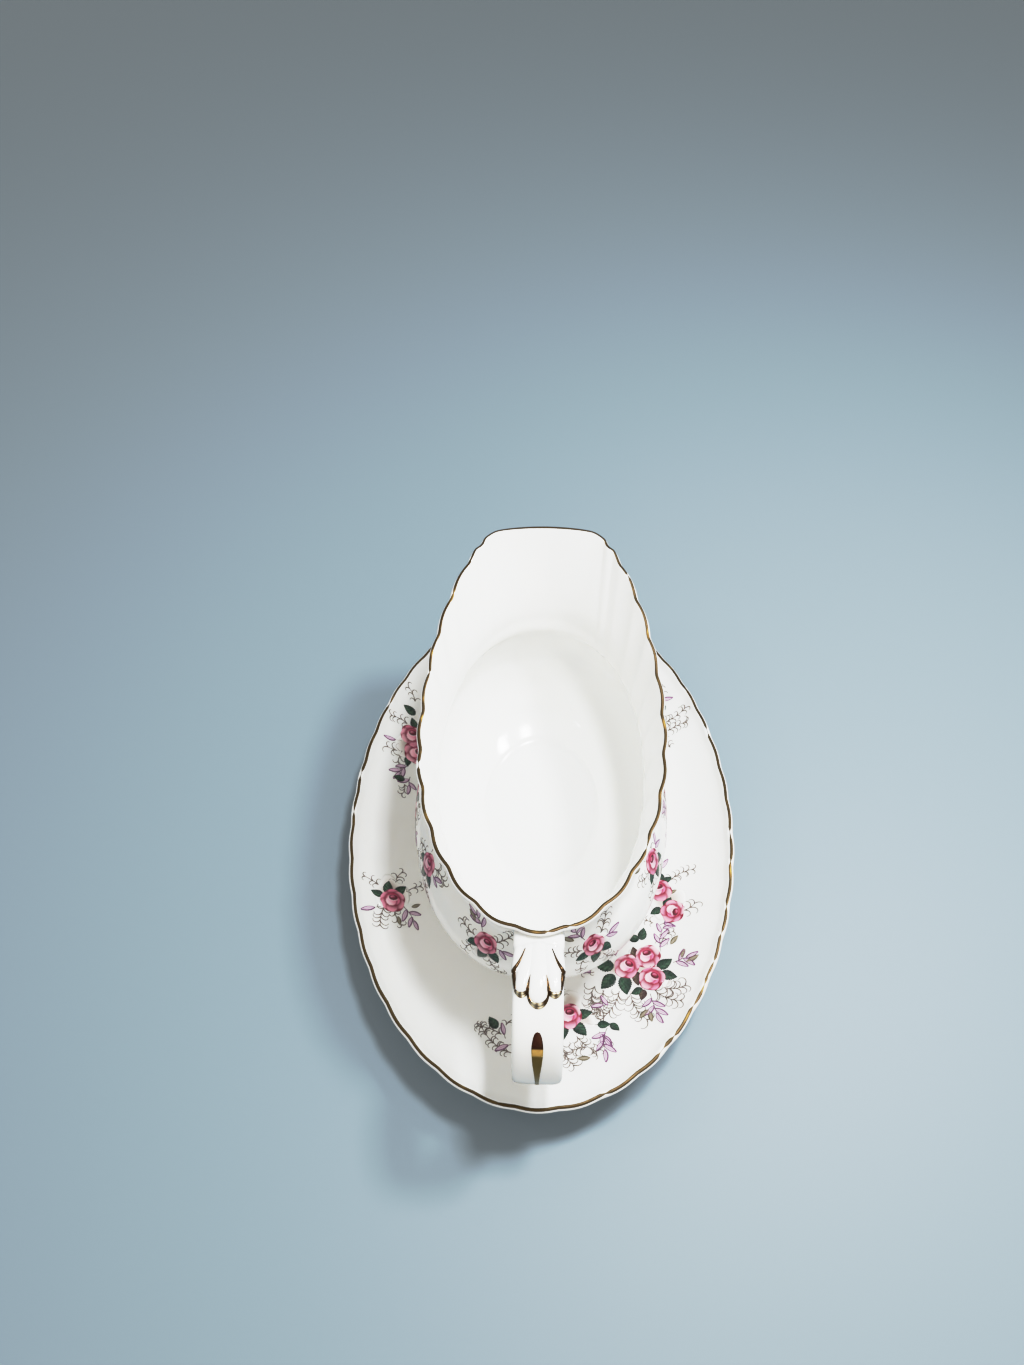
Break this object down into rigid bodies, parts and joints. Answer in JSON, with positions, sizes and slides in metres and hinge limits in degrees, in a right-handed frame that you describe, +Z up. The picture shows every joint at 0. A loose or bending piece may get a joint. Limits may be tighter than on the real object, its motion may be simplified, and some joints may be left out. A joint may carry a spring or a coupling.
{
  "type": "gravy boat",
  "caption": "Fluted white china gravy boat with a rising spout and strap handle, standing loose in the well of its oval stand.",
  "frame": {"origin": "middle of the stand on the table it stands on, at the height of the foot ring's underside", "axes": "+X along the stand to the spout, with the handle at -X; +Y to the left of a person looking along +X; +Z up"},
  "size_m": [0.225, 0.153, 0.0976],
  "materials": {
    "glazed_china": "white bone china under a clear high-gloss glaze"
  },
  "bodies": {
    "stand": {"stand_dish": "glazed_china", "stand_foot_ring": "glazed_china"},
    "boat": {"boat_bowl": "glazed_china", "boat_foot_ring": "glazed_china", "handle": "glazed_china", "handle_leaf": "glazed_china"}
  },
  "joints": [
    {"name": "boat_lift", "type": "slide", "parent": "stand", "child": "boat", "axis": [0, 0, 1], "range_m": [0, 0.12]}
  ]
}
